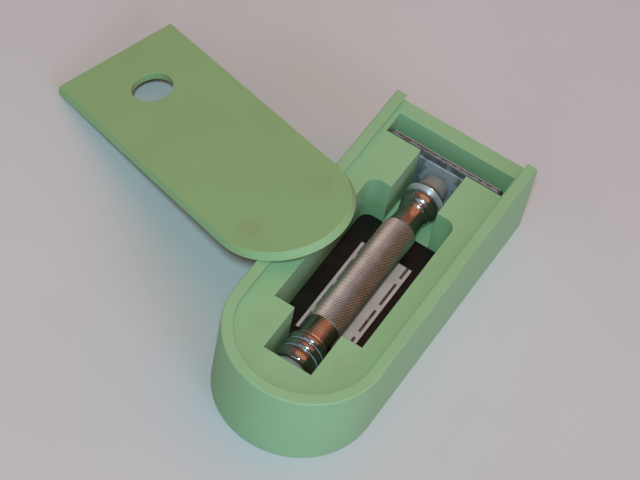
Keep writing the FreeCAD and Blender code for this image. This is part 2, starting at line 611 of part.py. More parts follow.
def label_place(gap, z0, z1):
    """Block of the label's outline, grown by gap on each side."""
    half = LABEL_WIDTH / 2 + gap
    y_low = PACK_Y - PACK_LENGTH / 2 + LABEL_FROM_KNOB_END
    return box(-half, half, y_low - gap, y_low + LABEL_LENGTH + gap, z0, z1)


def dispenser_cover():
    cover = pack_block(0.0, COVER_UNDER_Z, PACK_TOP_Z)
    lip_z = COVER_UNDER_Z - COVER_LIP
    lip = pack_block(PACK_WALL + COVER_LIP_GAP, lip_z, COVER_UNDER_Z)
    lip_inner = pack_block(PACK_WALL + COVER_LIP_GAP + COVER_LIP, lip_z, COVER_UNDER_Z)
    blade_way = box(-GUIDE_X, GUIDE_X, PACK_Y, PACK_Y + PACK_LENGTH / 2, lip_z, COVER_UNDER_Z)
    cover = cover.fuse(lip.cut(lip_inner).cut(blade_way))
    return cover.cut(label_place(LABEL_GAP, PACK_TOP_Z - LABEL_THICKNESS, PACK_TOP_Z))


def dispenser_label():
    return label_place(0.0, PACK_TOP_Z - LABEL_THICKNESS, PACK_TOP_Z)


def spare_blades():
    stack = []
    for number in range(SPARE_BLADES):
        z0 = STACK_UNDER_Z + number * SPARE_BLADE_PITCH
        corners = [vec(across, PACK_Y + along, z0) for along, across in blade_outline(BLADE_WIDTH)]
        sheet = face_of(*corners).extrude(vec(0, 0, BLADE_THICKNESS))
        slot = box(-BLADE_SLOT_WIDTH / 2, BLADE_SLOT_WIDTH / 2, PACK_Y - BLADE_SLOT_LENGTH / 2,
                   PACK_Y + BLADE_SLOT_LENGTH / 2, z0, z0 + BLADE_THICKNESS)
        hole = Part.makeCylinder(BLADE_HOLE_DIAMETER / 2, BLADE_THICKNESS, vec(0, PACK_Y, z0))
        stack.append(sheet.cut(slot).cut(hole))
    return Part.makeCompound(stack)


def feed_spring():
    half = FEED_SPRING_LENGTH / 2
    low = TRAY_FLOOR_Z + PACK_INNER_GAP
    high = STACK_UNDER_Z - PACK_INNER_GAP - FEED_SPRING_THICKNESS
    x0 = -FEED_SPRING_WIDTH / 2

    def at(along, z):
        return vec(x0, PACK_Y + along, z)

    section = face_of(
        at(-half, low),
        (at(0, high), at(half, low)),
        at(half, low + FEED_SPRING_THICKNESS),
        (at(0, high + FEED_SPRING_THICKNESS), at(-half, low + FEED_SPRING_THICKNESS)),
    )
    return section.extrude(vec(FEED_SPRING_WIDTH, 0, 0))


PIECES = [
    case_body, case_magnets, lid, lid_magnets,
    cap_plate, cap_stud, blade, guard_plate,
    handle_collar, handle_barrel, knob_washer, twist_knob, sleeve_nut, retaining_ring,
    dispenser_tray, dispenser_cover, dispenser_label, spare_blades, feed_spring,
]

os.makedirs("parts", exist_ok=True)
for piece in PIECES:
    piece().exportStep("parts/" + piece.__name__ + ".step")
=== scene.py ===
import json
import math

import bmesh
import bpy
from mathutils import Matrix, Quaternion, Vector

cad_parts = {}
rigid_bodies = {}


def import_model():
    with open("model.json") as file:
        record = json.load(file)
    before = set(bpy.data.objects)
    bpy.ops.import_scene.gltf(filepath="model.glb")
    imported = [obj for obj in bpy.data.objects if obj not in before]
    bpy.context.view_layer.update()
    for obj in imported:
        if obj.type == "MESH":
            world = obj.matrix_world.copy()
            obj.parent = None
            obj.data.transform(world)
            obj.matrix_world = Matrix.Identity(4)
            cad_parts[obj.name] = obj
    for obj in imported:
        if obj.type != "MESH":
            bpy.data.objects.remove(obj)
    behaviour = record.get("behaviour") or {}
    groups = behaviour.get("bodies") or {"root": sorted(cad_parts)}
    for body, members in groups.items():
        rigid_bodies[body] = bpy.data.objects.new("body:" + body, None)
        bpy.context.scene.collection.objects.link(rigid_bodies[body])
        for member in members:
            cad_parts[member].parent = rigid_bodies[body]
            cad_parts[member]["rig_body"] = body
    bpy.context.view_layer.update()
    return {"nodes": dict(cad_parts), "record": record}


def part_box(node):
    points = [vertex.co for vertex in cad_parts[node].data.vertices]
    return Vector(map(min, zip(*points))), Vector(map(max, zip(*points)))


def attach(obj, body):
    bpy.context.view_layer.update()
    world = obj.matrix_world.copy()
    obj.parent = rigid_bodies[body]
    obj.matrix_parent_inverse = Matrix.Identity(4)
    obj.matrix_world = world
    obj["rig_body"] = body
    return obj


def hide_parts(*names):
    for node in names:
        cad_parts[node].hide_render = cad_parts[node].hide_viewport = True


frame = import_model()

# Case body: one printed block of pale green plastic, round at the knob end, with pockets for the razor
# and the blade pack. A rim that leans inwards runs along its sides and holds the lid like a dovetail.
# It is printed standing on its base, so its layers lie flat and its inner edges are left crisp.
mm = 0.001
case_green = (0.262, 0.466, 0.246, 1.0)
case_green_pale = (0.276, 0.486, 0.262, 1.0)
magnet_brown = (0.270, 0.366, 0.176, 1.0)
print_layer = 0.2 * mm
print_line = 0.42 * mm
print_grain = 0.6 * mm
print_depth = 0.02 * mm
tone_patch = 26 * mm
case_edge = 0.22 * mm
tint_radius = 5.2 * mm
tint_patch = 3 * mm
case_tint = 0.25
up = (0.0, 0.0, 1.0)
case_line = (math.sqrt(0.5), math.sqrt(0.5), 0.0)


def softened(node, edge):
    """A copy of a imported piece, with its flat faces made whole and its sharp edges rounded off."""
    weld = 0.0005 * mm
    flat_within = math.radians(0.5)
    sharp_from = math.radians(38)
    source = frame["nodes"][node]
    shape = bmesh.new()
    shape.from_mesh(source.data)
    bmesh.ops.remove_doubles(shape, verts=shape.verts, dist=weld)
    bmesh.ops.dissolve_limit(shape, angle_limit=flat_within, verts=shape.verts, edges=shape.edges)
    mesh = bpy.data.meshes.new(node + "_skin")
    shape.to_mesh(mesh)
    shape.free()
    if "custom_normal" in mesh.attributes:
        mesh.attributes.remove(mesh.attributes["custom_normal"])
    mesh.shade_smooth()
    mesh.set_sharp_from_angle(angle=sharp_from)
    piece = bpy.data.objects.new(node + "_skin", mesh)
    bpy.context.collection.objects.link(piece)
    rounding = piece.modifiers.new("rounded_edges", "BEVEL")
    rounding.width = edge
    rounding.segments = 2
    rounding.limit_method = "ANGLE"
    rounding.angle_limit = sharp_from
    rounding.use_clamp_overlap = False
    rounding.harden_normals = True
    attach(piece, source["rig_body"])
    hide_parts(node)
    return piece


def put(tree, kind, inputs=None, **settings):
    """Adds a node. Each input is given a constant, or is linked to another node's output."""
    node = tree.nodes.new(kind)
    for name, value in settings.items():
        setattr(node, name, value)
    for name, value in (inputs or {}).items():
        if isinstance(value, bpy.types.NodeSocket):
            tree.links.new(value, node.inputs[name])
        else:
            node.inputs[name].default_value = value
    return node


def calc(tree, operation, *values):
    """One step of arithmetic."""
    return put(tree, "ShaderNodeMath", dict(enumerate(values)), operation=operation).outputs[0]


def along(tree, position, direction):
    """How far a point lies along a direction."""
    product = put(tree, "ShaderNodeVectorMath", {0: position, 1: direction}, operation="DOT_PRODUCT")
    return product.outputs["Value"]


def facing(tree, direction):
    """How far the surface looks along a direction, from -1 to 1."""
    return along(tree, put(tree, "ShaderNodeNewGeometry").outputs["Normal"], direction)


def ramp(tree, value, start, end, low=0.0, high=1.0):
    """A smooth step from low to high as value goes from start to end."""
    step = put(tree, "ShaderNodeMapRange", {"Value": value, "From Min": start, "From Max": end},
               interpolation_type="SMOOTHSTEP")
    step.inputs["To Min"].default_value = low
    step.inputs["To Max"].default_value = high
    return step.outputs["Result"]


def mottle(tree, position, patch, detail=4.0):
    """Soft noise whose patches are about one patch across."""
    noise = put(tree, "ShaderNodeTexNoise", {"Vector": position, "Scale": 1 / patch, "Detail": detail})
    return noise.outputs[0]


def stretched(tree, position, scale):
    """The position with each axis scaled, so that noise read there is drawn out."""
    return put(tree, "ShaderNodeVectorMath", {0: position, 1: scale}, operation="MULTIPLY").outputs[0]


def tinted(tree, amount, colour, other):
    """One colour passing into another."""
    return put(tree, "ShaderNodeMix", {0: amount, 6: colour, 7: other}, data_type="RGBA").outputs[2]


def blended(tree, amount, value, other):
    """One value passing into another."""
    return put(tree, "ShaderNodeMix", {0: amount, 2: value, 3: other}).outputs[0]


def start_group(name, inputs, outputs):
    """A new shader group with named sockets. Returns it with what goes in and what comes out."""
    group = bpy.data.node_groups.new(name, "ShaderNodeTree")
    for socket, kind in inputs.items():
        group.interface.new_socket(socket, in_out="INPUT", socket_type="NodeSocket" + kind)
    for socket in outputs:
        group.interface.new_socket(socket, in_out="OUTPUT", socket_type="NodeSocketFloat")
    return group, group.nodes.new("NodeGroupInput").outputs, group.nodes.new("NodeGroupOutput").inputs


def start_finish(name):
    """A new material. Returns it with its node tree, its shader and the place on the piece."""
    finish = bpy.data.materials.new(name)
    finish.use_nodes = True
    tree = finish.node_tree
    shader = tree.nodes["Principled BSDF"]
    return finish, tree, shader, put(tree, "ShaderNodeTexCoord").outputs["Object"]


def raise_surface(tree, shader, height, depth, strength=1.0):
    """Feeds a height into the shader's normal."""
    bump = put(tree, "ShaderNodeBump", {"Height": height, "Distance": depth, "Strength": strength})
    tree.links.new(bump.outputs["Normal"], shader.inputs["Normal"])


# Printed surface: layer lines on the walls, laid lines on the flats and a slow drift of tone.
print_marks, given, made = start_group(
    "print_marks", {"Position": "Vector", "Layer Direction": "Vector", "Line Direction": "Vector"},
    ["Height", "Tone"])
flatness = ramp(
    print_marks, calc(print_marks, "ABSOLUTE", facing(print_marks, given["Layer Direction"])), 0.6, 0.9)
waves = []
for direction, pitch in (("Layer Direction", print_layer), ("Line Direction", print_line)):
    run = along(print_marks, given["Position"], given[direction])
    waves.append(calc(print_marks, "SINE", calc(print_marks, "MULTIPLY", run, math.tau / pitch)))
lines = blended(print_marks, flatness, *waves)
grain = mottle(print_marks, given["Position"], print_grain, 2.0)
print_marks.links.new(calc(print_marks, "ADD", lines, grain), made["Height"])
drift = mottle(print_marks, given["Position"], tone_patch)
print_marks.links.new(ramp(print_marks, drift, 0.3, 0.7), made["Tone"])

# Magnet seat: where a disc sits just under the skin, the plastic is thinner and looks a little browner.
magnet_tint, given, made = start_group(
    "magnet_tint", {"Position": "Vector", "Centre": "Vector", "Radius": "Float"}, ["Amount"])
reach = put(magnet_tint, "ShaderNodeVectorMath", {0: given["Position"], 1: given["Centre"]},
            operation="DISTANCE").outputs["Value"]
patches = mottle(magnet_tint, given["Position"], tint_patch)
rough_rim = calc(magnet_tint, "MULTIPLY", calc(magnet_tint, "MULTIPLY", patches, given["Radius"]), 0.5)
share = calc(magnet_tint, "DIVIDE", calc(magnet_tint, "ADD", reach, rough_rim), given["Radius"])
magnet_tint.links.new(ramp(magnet_tint, share, 1.35, 0.75), made["Amount"])


def disc_places(node):
    """The middles of the two discs in a node, told apart by the side of the pair's middle they lie on."""
    points = [vertex.co for vertex in frame["nodes"][node].data.vertices]
    middle = sum(points, Vector()) / len(points)
    spread = max(points, key=lambda point: (point - middle).length) - middle
    first = [point for point in points if (point - middle).dot(spread) > 0]
    second = [point for point in points if (point - middle).dot(spread) <= 0]
    return [sum(disc, Vector()) / len(disc) for disc in (first, second)]


def printed_plastic(name, green, pale_green, layer_direction, line_direction, magnets, tint_strength):
    """Matte printed plastic, with the magnets under it just showing."""
    finish, tree, shader, position = start_finish(name)
    marks = put(tree, "ShaderNodeGroup", {"Position": position, "Layer Direction": layer_direction,
                                          "Line Direction": line_direction}, node_tree=print_marks).outputs
    colour = tinted(tree, marks["Tone"], green, pale_green)
    for magnet in magnets:
        tint = put(tree, "ShaderNodeGroup", {"Position": position, "Centre": magnet, "Radius": tint_radius},
                   node_tree=magnet_tint).outputs["Amount"]
        colour = tinted(tree, calc(tree, "MULTIPLY", tint, tint_strength), colour, magnet_brown)
    tree.links.new(colour, shader.inputs["Base Color"])
    tree.links.new(ramp(tree, marks["Tone"], 0.0, 1.0, 0.50, 0.60), shader.inputs["Roughness"])
    shader.inputs["Specular IOR Level"].default_value = 0.35
    raise_surface(tree, shader, marks["Height"], print_depth, 0.35)
    return finish


case_skin = softened("case_body", case_edge)
case_skin.data.materials.append(printed_plastic(
    "case_plastic", case_green, case_green_pale, up, case_line, disc_places("case_magnets"), case_tint))

# Case magnets: two nickel-plated discs pressed into seats under the deck, each side of the knob's slot.
# They pull the lid's own discs down when the lid is home.
magnet_silver = (0.68, 0.66, 0.63, 1.0)
magnet_dull = (0.50, 0.48, 0.45, 1.0)
scratch_runs = ((900.0, 160.0, 1600.0), (240.0, 2200.0, 700.0))


def dress(node, finish):
    """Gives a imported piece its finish."""
    for place in frame["nodes"][node].material_slots:
        place.material = finish


# Handled metal: soft smudges, and fine scratches that run two ways.
handling, given, made = start_group(
    "handling", {"Position": "Vector", "Patch": "Float"}, ["Smudge", "Scratch"])
smudge_scale = calc(handling, "DIVIDE", 1.0, given["Patch"])
smudges = put(handling, "ShaderNodeTexNoise", {
    "Vector": given["Position"], "Scale": smudge_scale, "Detail": 5.0}).outputs[0]
handling.links.new(ramp(handling, smudges, 0.35, 0.68), made["Smudge"])
strokes = []
for run in scratch_runs:
    streaks = mottle(handling, stretched(handling, given["Position"], run), 1.0, 3.0)
    strokes.append(ramp(handling, streaks, 0.60, 0.72))
handling.links.new(calc(handling, "MAXIMUM", *strokes), made["Scratch"])


def handled(tree, position, patch):
    """The smudges and scratches at a place."""
    return put(tree, "ShaderNodeGroup", {"Position": position, "Patch": patch}, node_tree=handling).outputs


def bright_metal(name, bright, dull, patch, smooth, rough):
    """Metal that is duller where it has been handled. Returns it with its tree, shader and place."""
    finish, tree, shader, position = start_finish(name)
    marks = handled(tree, position, patch)
    tree.links.new(tinted(tree, marks["Smudge"], bright, dull), shader.inputs["Base Color"])
    wear = calc(tree, "MAXIMUM", marks["Smudge"], calc(tree, "MULTIPLY", marks["Scratch"], 0.6))
    tree.links.new(ramp(tree, wear, 0.0, 1.0, smooth, rough), shader.inputs["Roughness"])
    shader.inputs["Metallic"].default_value = 1.0
    return finish, tree, shader, position


magnet_nickel = bright_metal(
    "magnet_nickel", magnet_silver, magnet_dull, patch=4 * mm, smooth=0.18, rough=0.32)[0]
dress("case_magnets", magnet_nickel)

# Lid: a thin printed plate of the same plastic with a round end, leaning sides and a finger hole.
# It is printed flat and slides into the case's channel; here it is off, leaning on the case's wall.
finger_hole = next(mount for mount in frame["record"]["mounts"] if mount["name"] == "finger_hole")
lid_up = Vector(finger_hole["axis"])
lid_magnets = disc_places("lid_magnets")
to_round_end = (lid_magnets[0] + lid_magnets[1]) / 2 - Vector(finger_hole["pos_m"])
lid_long = (to_round_end - lid_up * to_round_end.dot(lid_up)).normalized()
lid_line = (lid_long + lid_up.cross(lid_long)).normalized()
lid_green = (0.266, 0.452, 0.212, 1.0)
lid_green_pale = (0.280, 0.472, 0.226, 1.0)
lid_edge = 0.2 * mm
lid_tint = 0.42

lid_skin = softened("lid", lid_edge)
lid_skin.data.materials.append(printed_plastic(
    "lid_plastic", lid_green, lid_green_pale, lid_up, lid_line, lid_magnets, lid_tint))

# Lid magnets: two discs like the case's own, nickel-plated and with the same finish.
# They are let into the underside of the lid near its round end.
dress("lid_magnets", magnet_nickel)

# Pack tray and cover: the two moulded halves of the spare blades' pack, in satin black plastic.
# The cover's lip drops inside the tray's wall, and a blade is pushed out through the slot at its end.
pack_black = (0.0075, 0.0065, 0.0062, 1.0)
pack_rubbed = (0.0115, 0.0100, 0.0095, 1.0)
pack_edge = 0.25 * mm
rubbed_patch = 7 * mm
pack_grain = 0.25 * mm
pack_grain_depth = 0.02 * mm

moulded_black, tree, shader, position = start_finish("moulded_black")
rubbed = ramp(tree, mottle(tree, position, rubbed_patch), 0.45, 0.7)
tree.links.new(tinted(tree, rubbed, pack_black, pack_rubbed), shader.inputs["Base Color"])
tree.links.new(ramp(tree, rubbed, 0.0, 1.0, 0.42, 0.55), shader.inputs["Roughness"])
shader.inputs["Specular IOR Level"].default_value = 0.22
raise_surface(tree, shader, mottle(tree, position, pack_grain, 2.0), pack_grain_depth, 0.5)
for node in ("dispenser_tray", "dispenser_cover"):
    half = softened(node, pack_edge)
    half.data.materials.append(moulded_black)

# Feed spring: a bowed leaf of spring steel that lies on the tray's floor.
# It presses the blades up to the cover.
spring_bright = (0.50, 0.50, 0.51, 1.0)
spring_dull = (0.36, 0.35, 0.34, 1.0)

spring_steel = bright_metal(
    "spring_steel", spring_bright, spring_dull, patch=5 * mm, smooth=0.24, rough=0.4)[0]
dress("feed_spring", spring_steel)

# Spare blades: thin strips of steel with ground faces, stacked in the pack.
# The spring holds them up under the cover.
blade_bright = (0.62, 0.63, 0.65, 1.0)
blade_dull = (0.44, 0.45, 0.48, 1.0)
grinding_run = (60.0, 5000.0, 5000.0)
grinding_depth = 0.01 * mm


def ground_steel(name):
    """Blade steel with fine grinding lines along X. Returns it with its tree, shader and place."""
    finish, tree, shader, position = bright_metal(
        name, blade_bright, blade_dull, patch=6 * mm, smooth=0.2, rough=0.36)
    grinding = mottle(tree, stretched(tree, position, grinding_run), 1.0, 2.0)
    raise_surface(tree, shader, grinding, grinding_depth, 0.4)
    return finish, tree, shader, position


dress("spare_blades", ground_steel("new_blade_steel")[0])

# Label: a paper sticker let into the cover, pale and a little pink, with plain bars printed on it.
# The bars are a generic pattern in two columns, one along each side of the paper.
paper_pale = (0.60, 0.49, 0.47, 1.0)
paper_worn = (0.52, 0.42, 0.39, 1.0)
print_dark = (0.055, 0.045, 0.045, 1.0)
paper_patch = 9 * mm
paper_grain = 0.3 * mm
paper_grain_depth = 0.01 * mm
ink_patch = 2.5 * mm
bar_pitch = 13.0 * mm
bar_share = 0.80
bar_from_edge = 1.1 * mm
bar_width = 1.0 * mm
label_low, label_high = (Vector(corner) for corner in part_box("dispenser_label"))
label_middle = (label_low.x + label_high.x) / 2
label_half_width = (label_high.x - label_low.x) / 2
sideways = (1.0, 0.0, 0.0)
lengthways = (0.0, 1.0, 0.0)


def from_middle(tree, position, direction, middle):
    """How far a point lies from a middle plane, on either side of it."""
    return calc(tree, "ABSOLUTE", calc(tree, "SUBTRACT", along(tree, position, direction), middle))


label_paper, tree, shader, position = start_finish("label_paper")
from_side = calc(tree, "SUBTRACT", label_half_width, from_middle(tree, position, sideways, label_middle))
column = calc(tree, "COMPARE", from_side, bar_from_edge + bar_width / 2, bar_width / 2)
bar_run = calc(tree, "FRACT", calc(tree, "DIVIDE", along(tree, position, lengthways), bar_pitch))
bars = calc(tree, "MULTIPLY", calc(tree, "LESS_THAN", bar_run, bar_share), column)
ink = calc(tree, "MULTIPLY", bars, ramp(tree, mottle(tree, position, ink_patch), 0.3, 0.6, 0.80, 1.0))
worn = ramp(tree, mottle(tree, position, paper_patch), 0.35, 0.7)
paper = tinted(tree, worn, paper_pale, paper_worn)
tree.links.new(tinted(tree, ink, paper, print_dark), shader.inputs["Base Color"])
tree.links.new(ramp(tree, ink, 0.0, 1.0, 0.48, 0.36), shader.inputs["Roughness"])
raise_surface(tree, shader, mottle(tree, position, paper_grain), paper_grain_depth, 0.4)
dress("dispenser_label", label_paper)

# Guard plate: a plated plate with a safety bar and lather notches along both edges.
# Its arched face carries the blade. Its flat back sits on the handle's dome, and dried soap dulls it there
# in a patch about the middle; the bare strips beside the patch are left darker as painted shade. A pale
# line along the ledge by each bar is a painted highlight.
guard_grey = (0.25, 0.275, 0.30, 1.0)
guard_stain = (0.11, 0.118, 0.125, 1.0)
film_grey = (0.40, 0.42, 0.46, 1.0)
ledge_highlight = (0.50, 0.51, 0.54, 1.0)
soap_patch = 5 * mm
soap_from = 0.52
soap_fade = 0.16
coat_rough = 0.45
coat_mirror = 0.15
guard_mirror = 0.55
film_depth = 0.3 * mm
shade_strips_from_middle = 6.2 * mm
shade_edge_ragged = 1.1 * mm
shade_edge_patch = 3 * mm
guard_edge = 0.1 * mm
guard_low, guard_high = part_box("guard_plate")
guard_back = guard_low[1]
guard_middle = (guard_low[0] + guard_high[0]) / 2
guard_height = (guard_low[2] + guard_high[2]) / 2
ledge_from_edge = 3.4 * mm
ledge_from_middle = (guard_high[2] - guard_low[2]) / 2 - ledge_from_edge
ledge_half_width = 0.18 * mm
ledge_step = 0.45 * mm
ledge_patch = 4 * mm
to_knob = (0.0, -1.0, 0.0)

# Soap film: water runs down a standing razor and dries on the faces that look towards its knob.
soap_film, given, made = start_group(
    "soap_film", {"Position": "Vector", "Start": "Float", "Strength": "Float"}, ["Amount"])
patches = ramp(soap_film, mottle(soap_film, given["Position"], soap_patch), 0.25, 0.6, 0.75, 1.0)
full_from = calc(soap_film, "ADD", given["Start"], soap_fade)
covered = ramp(soap_film, facing(soap_film, to_knob), given["Start"], full_from)
held = calc(soap_film, "MULTIPLY", covered, patches)
soap_film.links.new(calc(soap_film, "MULTIPLY", held, given["Strength"]), made["Amount"])


def soap_on(tree, position, start, strength):
    """How much soap has dried on a face, by how far it looks towards the knob."""
    return put(tree, "ShaderNodeGroup", {"Position": position, "Start": start, "Strength": strength},
               node_tree=soap_film).outputs["Amount"]


def dull_coat(tree, shader, coat, colour, bare_mirror=1.0):
    """Lays a coat over a metal: of its own colour, rougher and less like a mirror. It carries dried soap,
    painted shade and painted highlights.
    """
    bare = shader.inputs["Base Color"].links[0].from_socket
    smooth = shader.inputs["Roughness"].links[0].from_socket
    tree.links.new(tinted(tree, coat, bare, colour), shader.inputs["Base Color"])
    tree.links.new(blended(tree, coat, smooth, coat_rough), shader.inputs["Roughness"])
    tree.links.new(ramp(tree, coat, 0.0, 1.0, bare_mirror, coat_mirror), shader.inputs["Metallic"])


guard_metal, tree, shader, position = bright_metal(
    "guard_metal", guard_grey, guard_stain, patch=3 * mm, smooth=0.28, rough=0.45)
height = along(tree, position, lengthways)
on_back = ramp(tree, height, guard_back + film_depth / 2, guard_back + film_depth, 1.0, 0.0)
# Painted shade: the soap patch ends in a ragged edge about 6 mm each side of the middle, so the bare strips
# beyond it read darker.
ragged = ramp(tree, mottle(tree, position, shade_edge_patch), 0.3, 0.7, -shade_edge_ragged, shade_edge_ragged)
off_middle = calc(tree, "ADD", from_middle(tree, position, sideways, guard_middle), ragged)
clear_of_shade_strips = ramp(tree, off_middle, shade_strips_from_middle - shade_edge_ragged, shade_strips_from_middle + shade_edge_ragged, 1.0, 0.35)
back_film = soap_on(tree, position, soap_from, calc(tree, "MULTIPLY", on_back, clear_of_shade_strips))
off_axis = from_middle(tree, position, up, guard_height)
# Painted highlight: a pale, mottled line along the ledge by each bar.
near_back = calc(tree, "LESS_THAN", height, guard_back + ledge_step)
ledge_line = calc(tree, "COMPARE", off_axis, ledge_from_middle, ledge_half_width)
on_ledge = calc(tree, "MULTIPLY", ledge_line, near_back)
ledge_highlight_mottle = ramp(tree, mottle(tree, position, ledge_patch), 0.35, 0.6, 0.3, 0.9)
coat = calc(tree, "MAXIMUM", back_film, calc(tree, "MULTIPLY", on_ledge, ledge_highlight_mottle))
dull_coat(tree, shader, coat, tinted(tree, on_ledge, film_grey, ledge_highlight), guard_mirror)
guard_skin = softened("guard_plate", guard_edge)
guard_skin.data.materials.append(guard_metal)

# Razor blade: one ground strip, bent over the guard's arch and held there by the cap.
# Its underside is painted dark near its long edges, where they lie over the guard's notches: painted shade.
painted_shade_dark = (0.030, 0.028, 0.026, 1.0)
edge_shade_from = 8.0 * mm
edge_shade_fade = 0.5 * mm

used_steel, tree, shader, position = ground_steel("used_blade_steel")
# Painted shade: the underside darkens near the long edges, over the guard's notches.
underside = ramp(tree, facing(tree, to_knob), 0.0, 0.2)
off_axis = from_middle(tree, position, up, guard_height)
by_edge = ramp(tree, off_axis, edge_shade_from, edge_shade_from + edge_shade_fade)
dull_coat(tree, shader, calc(tree, "MULTIPLY", underside, by_edge), painted_shade_dark)
dress("blade", used_steel)

# Cap plate: the arched cover of plated brass that bends the blade down, with its long edges left in view.
# Those edges are painted a pale blue, rough and less like a mirror: a painted highlight.
plate_silver = (0.42, 0.46, 0.49, 1.0)
plate_brown = (0.33, 0.33, 0.31, 1.0)
cap_highlight_blue = (0.30, 0.42, 0.54, 1.0)
cap_highlight_width = 1.0 * mm
cap_highlight_fade = 0.5 * mm
cap_highlight_strength = 0.75
cap_edge = 0.12 * mm
cap_low, cap_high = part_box("cap_plate")
cap_highlight_from = (cap_high[2] - cap_low[2]) / 2 - cap_highlight_width

plated_brass, tree, shader, position = bright_metal(
    "plated_brass", plate_silver, plate_brown, patch=9 * mm, smooth=0.14, rough=0.28)
# Painted highlight: a pale blue coat along the cap's long edges.
off_axis = from_middle(tree, position, up, guard_height)
by_edge = ramp(tree, off_axis, cap_highlight_from, cap_highlight_from + cap_highlight_fade)
dull_coat(tree, shader, calc(tree, "MULTIPLY", by_edge, cap_highlight_strength), cap_highlight_blue)
cap_skin = softened("cap_plate", cap_edge)
cap_skin.data.materials.append(plated_brass)

# Cap stud: the cap's turned brass screw, which runs down through blade, guard and collar to the nut.
# Its thread is shown by rings as close as the thread's pitch.
brass_bright = (0.72, 0.53, 0.25, 1.0)
brass_dull = (0.50, 0.34, 0.16, 1.0)
thread_pitch = 0.8 * mm
thread_depth = 0.08 * mm

# Turned rings: the fine grooves that a lathe tool leaves round a piece whose axis lies along Y.
turned_rings, given, made = start_group(
    "turned_rings", {"Position": "Vector", "Pitch": "Float"}, ["Height"])
turn = calc(turned_rings, "DIVIDE", along(turned_rings, given["Position"], lengthways), given["Pitch"])
rings = put(turned_rings, "ShaderNodeTexNoise", {"W": turn, "Scale": 1.0, "Detail": 2.0},
            noise_dimensions="1D").outputs[0]
turned_rings.links.new(rings, made["Height"])


def ring_height(tree, position, pitch):
    """The height of the turned rings at a place."""
    return put(tree, "ShaderNodeGroup", {"Position": position, "Pitch": pitch},
               node_tree=turned_rings).outputs["Height"]


turned_brass, tree, shader, position = bright_metal(
    "turned_brass", brass_bright, brass_dull, patch=3 * mm, smooth=0.22, rough=0.4)
raise_surface(tree, shader, ring_height(tree, position, thread_pitch), thread_depth)
dress("cap_stud", turned_brass)

# Handle collar: turned and plated, with a dome under the head, a flange, a bead and a narrow neck.
# Soap dries on the flange's face, and the corner between flange and dome is painted dark: painted shade.
dome_grey = (0.30, 0.27, 0.25, 1.0)
turned_ring = 0.3 * mm
collar_ring_depth = 0.004 * mm
collar_edge = 0.1 * mm
flange_from_guard = 7.6 * mm
flange_thickness = 2.0 * mm
flange_fade = 0.1 * mm
flange_top = guard_back - flange_from_guard
flange_low = flange_top - flange_thickness
dome_film = 0.85
dome_fade = 0.2 * mm
corner_dark_to = 1.2 * mm
corner_grey_from = 2.6 * mm

turned_plate, tree, shader, position = bright_metal(
    "turned_plate", plate_silver, plate_brown, patch=7 * mm, smooth=0.09, rough=0.2)
raise_surface(tree, shader, ring_height(tree, position, turned_ring), collar_ring_depth)
height = along(tree, position, lengthways)
on_flange = ramp(tree, height, flange_low - flange_fade, flange_low + flange_fade, 0.12, 0.9)
on_dome = ramp(tree, height, flange_top, flange_top + dome_fade)
flange_film = soap_on(tree, position, soap_from, on_flange)
coat = calc(tree, "MAXIMUM", flange_film, calc(tree, "MULTIPLY", on_dome, dome_film))
# Painted shade: the dome darkens into its corner by the flange.
from_corner = ramp(tree, height, flange_top + corner_dark_to, flange_top + corner_grey_from)
dome_colour = tinted(tree, from_corner, painted_shade_dark, dome_grey)
dull_coat(tree, shader, coat, tinted(tree, on_dome, film_grey, dome_colour))
collar_skin = softened("handle_collar", collar_edge)
collar_skin.data.materials.append(turned_plate)

# Handle barrel: a plated tube with slanting rolled ridges, notched by a shallower set that crosses them.
# Soap has browned the grooves and left the ridges bright. At the knob end is a turned band, where the
# roll has left faint slanting marks.
knurl_ridges = 40
knurl_slant = math.radians(30)
knurl_depth = 0.34 * mm
cross_depth = 0.10 * mm
knurl_end = 0.35 * mm
knurl_sharp_from = math.radians(30)
tip_depth = 0.2 * knurl_depth
band_length = 7.7 * mm
band_radius = 6.0 * mm
band_edge = 0.2 * mm
band_fade = 0.1 * mm
band_ring = 0.30 * mm
band_ring_depth = 0.03 * mm
roll_patch = 5 * mm
roll_strength = 0.8
bore_radius = 4.2 * mm
counterbore_radius = 5.0 * mm
counterbore_depth = 20.0 * mm
grip_silver = (0.59, 0.64, 0.65, 1.0)
grip_brown = (0.25, 0.22, 0.175, 1.0)
grip_patch = 6 * mm
band_silver = (0.34, 0.38, 0.42, 1.0)
band_brown = (0.28, 0.28, 0.28, 1.0)
barrel_low, barrel_high = (Vector(corner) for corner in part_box("handle_barrel"))
barrel_axis = (barrel_low + barrel_high) / 2
knurl_radius = (barrel_high.x - barrel_low.x) / 2
columns = 2 * knurl_ridges
knurl_low_y = barrel_low.y + band_length
knurl_length = barrel_high.y - knurl_low_y - 2 * knurl_end
ridge_width = math.tau * knurl_radius / knurl_ridges
knurl_rows = 2 * round(knurl_length * math.tan(knurl_slant) / ridge_width)
row_step = knurl_length / knurl_rows


def knurl_ring(row):
    """One row of the knurl: ridges and grooves take turns round the ring, and shift on the next row."""
    ridge_drop = cross_depth if row % 2 else 0.0
    return [knurl_radius - (ridge_drop if (row + column) % 2 else knurl_depth) for column in range(columns)]


rings = [(barrel_high.y, [band_radius - knurl_depth] * columns)]
for row in range(knurl_rows + 1):
    rings.append((barrel_high.y - knurl_end - row * row_step, knurl_ring(row)))
first_plain = len(rings)
plain_profile = [
    (band_radius - knurl_depth, knurl_low_y),
    (band_radius, knurl_low_y - band_edge),
    (band_radius, barrel_low.y + band_edge),
    (band_radius - band_edge, barrel_low.y),
    (bore_radius, barrel_low.y),
    (bore_radius, barrel_high.y - counterbore_depth),
    (counterbore_radius, barrel_high.y - counterbore_depth),
    (counterbore_radius, barrel_high.y),
]
rings.extend((y, [radius] * columns) for radius, y in plain_profile)

